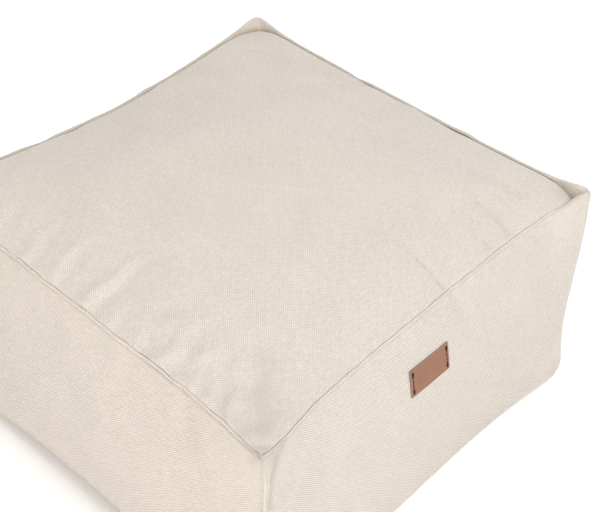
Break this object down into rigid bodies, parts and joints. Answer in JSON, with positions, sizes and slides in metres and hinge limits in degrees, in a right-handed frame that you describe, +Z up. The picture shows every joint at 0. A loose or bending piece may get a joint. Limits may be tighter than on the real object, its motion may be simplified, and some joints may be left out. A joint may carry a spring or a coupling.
{
  "type": "cube pouf stool",
  "caption": "Low square pouf stool: a stuffed canvas cushion with a crowned top, bulging sides, gathered corners and a plain leather patch on the front side. It sits flat on the floor.",
  "frame": {"origin": "middle of the bounding box, on the floor under the flattened base", "axes": "+Z up through the crown of the top; the panel with the leather patch faces -Y"},
  "size_m": [0.5378, 0.5344, 0.3153],
  "materials": {
    "canvas": "undyed cotton canvas in a plain weave of slubby yarn, matt, cream",
    "leather": "brown leather, waxed and a little worn at its edges, sewn on with dark thread"
  },
  "bodies": {
    "root": {"pouf_body": "canvas", "label_patch": "leather"}
  },
  "joints": []
}
